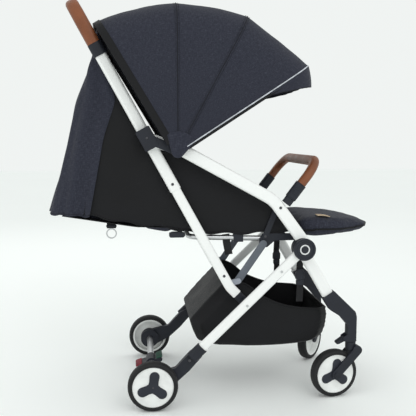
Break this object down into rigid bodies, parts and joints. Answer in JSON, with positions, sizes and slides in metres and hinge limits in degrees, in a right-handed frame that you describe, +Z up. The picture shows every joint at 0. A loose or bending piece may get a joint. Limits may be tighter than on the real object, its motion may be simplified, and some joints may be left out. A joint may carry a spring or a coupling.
{
  "type": "baby stroller",
  "caption": "Folding four-wheeled baby stroller with swivelling front wheels, reclining seat, legrest, bumper bar, hinged canopy, basket and a telescoping handle.",
  "frame": {"origin": "on the ground under the middle of the stroller", "axes": "+X the way it travels, +Y to its left, +Z up"},
  "size_m": [0.8886, 0.458, 1.0535],
  "materials": {
    "white_paint": "gloss",
    "dark_plastic": "matte",
    "leather": "satin",
    "tyre_rubber": "matte",
    "wheel_white": "satin",
    "steel": "satin",
    "grey_metal": "satin",
    "navy_weave": "matte",
    "black_nylon": "satin",
    "black_webbing": "matte",
    "pad_rubber": "matte"
  },
  "bodies": {
    "armrest_frame": {"armrest_tube_right": "white_paint", "armrest_tube_left": "white_paint", "armrest_sleeves": "dark_plastic", "bumper_sockets": "dark_plastic", "hub_caps": "dark_plastic", "side_panels": "black_nylon"},
    "rear_frame": {"rear_leg_right": "white_paint", "rear_leg_left": "white_paint", "rear_brackets": "dark_plastic", "rear_axle": "steel", "frame_rivets": "steel", "basket": "black_nylon", "basket_straps": "black_webbing"},
    "rear_wheel_right": {"rear_tyre_right": "tyre_rubber", "rear_disc_right": "wheel_white"},
    "rear_wheel_left": {"rear_tyre_left": "tyre_rubber", "rear_disc_left": "wheel_white"},
    "brake": {"brake_pedal": "dark_plastic", "brake_pads": "pad_rubber"},
    "front_frame": {"front_leg_right": "white_paint", "front_leg_left": "white_paint", "front_brackets": "dark_plastic"},
    "caster_right": {"caster_fork_right": "dark_plastic"},
    "caster_left": {"caster_fork_left": "dark_plastic"},
    "front_wheel_right": {"front_tyre_right": "tyre_rubber", "front_disc_right": "wheel_white"},
    "front_wheel_left": {"front_tyre_left": "tyre_rubber", "front_disc_left": "wheel_white"},
    "lock_right": {"caster_lock_right": "dark_plastic"},
    "lock_left": {"caster_lock_left": "dark_plastic"},
    "handle_upper": {"upper_tubes": "white_paint", "handle_collars": "dark_plastic", "grip_sleeves": "dark_plastic", "handle_grip": "leather", "canopy_bow_rear": "dark_plastic", "rear_flap": "navy_weave", "canopy_fabric": "navy_weave"},
    "handle_lower": {"lower_tubes": "white_paint", "link_brackets": "grey_metal", "handle_feet": "dark_plastic"},
    "fold_release": {"fold_button": "dark_plastic"},
    "bow_1": {"canopy_bow_1": "dark_plastic"},
    "bow_2": {"canopy_bow_2": "dark_plastic"},
    "bow_front": {"canopy_bow_front": "dark_plastic"},
    "visor": {"sun_visor": "navy_weave"},
    "bumper": {"bumper_ends": "dark_plastic", "bumper_grip": "leather"},
    "bumper_catch_right": {"bumper_button_right": "dark_plastic"},
    "bumper_catch_left": {"bumper_button_left": "dark_plastic"},
    "hangers": {"hanger_arms": "dark_plastic"},
    "seat_base": {"seat_rails": "steel", "seat_brackets": "dark_plastic", "seat_cushion": "navy_weave", "rail_clips": "black_webbing", "waist_strap": "black_webbing"},
    "links": {"seat_links": "grey_metal"},
    "backrest": {"backrest_pad": "navy_weave", "backrest_straps": "black_webbing", "d_ring": "steel"},
    "legrest": {"legrest_pad": "navy_weave"}
  },
  "joints": [
    {"name": "frame_fold", "type": "hinge", "parent": "armrest_frame", "child": "rear_frame", "pos_m": [0.21268, 0, 0.413], "axis": [0, 1, 0], "range_deg": [0, 70], "deforming": ["side_panels", "rear_flap", "basket", "basket_straps", "canopy_fabric"]},
    {"name": "front_leg_fold", "type": "hinge", "parent": "armrest_frame", "child": "front_frame", "pos_m": [0.21268, 0, 0.413], "axis": [0, 1, 0], "range_deg": [0, 118]},
    {"name": "handle_fold", "type": "hinge", "parent": "armrest_frame", "child": "handle_upper", "pos_m": [-0.19068, 0, 0.70002], "axis": [0, -1, 0], "range_deg": [0, 15.85]},
    {"name": "handle_telescope", "type": "slide", "parent": "handle_upper", "child": "handle_lower", "axis": [-0.4798, 0, 0.8774], "range_m": [0, 0.21076]},
    {"name": "hanger_swing", "type": "hinge", "parent": "armrest_frame", "child": "hangers", "pos_m": [0.15268, 0, 0.52], "axis": [0, 1, 0], "range_deg": [0, 34.26]},
    {"name": "seat_swing", "type": "hinge", "parent": "hangers", "child": "seat_base", "pos_m": [0.12068, 0, 0.44], "axis": [0, -1, 0], "range_deg": [0, 4.26]},
    {"name": "link_swing", "type": "hinge", "parent": "seat_base", "child": "links", "pos_m": [0.11568, 0, 0.42], "axis": [0, 1, 0], "range_deg": [0, 77.68]},
    {"name": "backrest_recline", "type": "hinge", "parent": "seat_base", "child": "backrest", "pos_m": [-0.08232, 0, 0.44], "axis": [0, 1, 0], "range_deg": [0, 45], "deforming": ["side_panels", "rear_flap"]},
    {"name": "legrest_tilt", "type": "hinge", "parent": "seat_base", "child": "legrest", "pos_m": [0.20568, 0, 0.44], "axis": [0, 1, 0], "range_deg": [0, 55], "deforming": ["side_panels"]},
    {"name": "canopy_fold", "type": "hinge", "parent": "handle_upper", "child": "bow_1", "pos_m": [-0.11432, 0, 0.667], "axis": [0, -1, 0], "range_deg": [0, 28], "deforming": ["canopy_fabric"]},
    {"name": "canopy_fold_middle", "type": "hinge", "parent": "bow_1", "child": "bow_2", "pos_m": [-0.11432, 0, 0.667], "axis": [0, -1, 0], "range_deg": [0, 27.01]},
    {"name": "canopy_fold_front", "type": "hinge", "parent": "bow_2", "child": "bow_front", "pos_m": [-0.11432, 0, 0.667], "axis": [0, -1, 0], "range_deg": [0, 25.01]},
    {"name": "visor_flip", "type": "hinge", "parent": "bow_front", "child": "visor", "pos_m": [0.23268, 0, 0.88], "axis": [0, -1, 0], "range_deg": [0, 90]},
    {"name": "bumper_lift", "type": "slide", "parent": "armrest_frame", "child": "bumper", "axis": [0.6094, 0, 0.7929], "range_m": [0, 0.06]},
    {"name": "bumper_catch_press_right", "type": "slide", "parent": "bumper", "child": "bumper_catch_right", "axis": [0, 1, 0], "range_m": [0, 0.003], "stiffness_N_per_m": 300},
    {"name": "bumper_catch_press_left", "type": "slide", "parent": "bumper", "child": "bumper_catch_left", "axis": [0, -1, 0], "range_m": [0, 0.003], "stiffness_N_per_m": 300},
    {"name": "fold_button_press", "type": "slide", "parent": "handle_upper", "child": "fold_release", "axis": [-1, 0, 0], "range_m": [0, 0.006], "stiffness_N_per_m": 300},
    {"name": "rear_wheel_spin_right", "type": "hinge", "parent": "rear_frame", "child": "rear_wheel_right", "pos_m": [-0.18232, -0.215, 0.065], "axis": [0, 1, 0], "continuous": true},
    {"name": "rear_wheel_spin_left", "type": "hinge", "parent": "rear_frame", "child": "rear_wheel_left", "pos_m": [-0.18232, 0.215, 0.065], "axis": [0, 1, 0], "continuous": true},
    {"name": "brake_rock", "type": "hinge", "parent": "rear_frame", "child": "brake", "pos_m": [-0.18232, -0.022, 0.065], "axis": [0, 1, 0], "range_deg": [0, 15]},
    {"name": "caster_swivel_right", "type": "hinge", "parent": "front_frame", "child": "caster_right", "pos_m": [0.35768, -0.166, 0.149], "axis": [0, 0, 1], "continuous": true},
    {"name": "caster_swivel_left", "type": "hinge", "parent": "front_frame", "child": "caster_left", "pos_m": [0.35768, 0.166, 0.149], "axis": [0, 0, -1], "continuous": true},
    {"name": "front_wheel_spin_right", "type": "hinge", "parent": "caster_right", "child": "front_wheel_right", "pos_m": [0.30928, -0.17367, 0.065], "axis": [-0.1564, 0.9877, 0], "continuous": true},
    {"name": "front_wheel_spin_left", "type": "hinge", "parent": "caster_left", "child": "front_wheel_left", "pos_m": [0.32618, 0.12846, 0.065], "axis": [-0.766, 0.6428, 0], "continuous": true},
    {"name": "caster_lock_right", "type": "hinge", "parent": "front_frame", "child": "lock_right", "pos_m": [0.33868, -0.166, 0.158], "axis": [0, -1, 0], "range_deg": [0, 8]},
    {"name": "caster_lock_left", "type": "hinge", "parent": "front_frame", "child": "lock_left", "pos_m": [0.33868, 0.166, 0.158], "axis": [0, -1, 0], "range_deg": [0, 8]}
  ],
  "couplings": [
    {"joint": "front_leg_fold", "follows": "frame_fold", "ratio": 1.6857},
    {"joint": "handle_fold", "follows": "frame_fold", "ratio": 0.22623},
    {"joint": "handle_telescope", "follows": "frame_fold", "m_per_rad": 0.17242},
    {"joint": "hanger_swing", "follows": "frame_fold", "ratio": 0.48929},
    {"joint": "seat_swing", "follows": "frame_fold", "ratio": 0.060714},
    {"joint": "link_swing", "follows": "frame_fold", "ratio": 1.1096},
    {"joint": "canopy_fold_middle", "follows": "canopy_fold", "ratio": 0.96429},
    {"joint": "canopy_fold_front", "follows": "canopy_fold", "ratio": 0.89286}
  ]
}
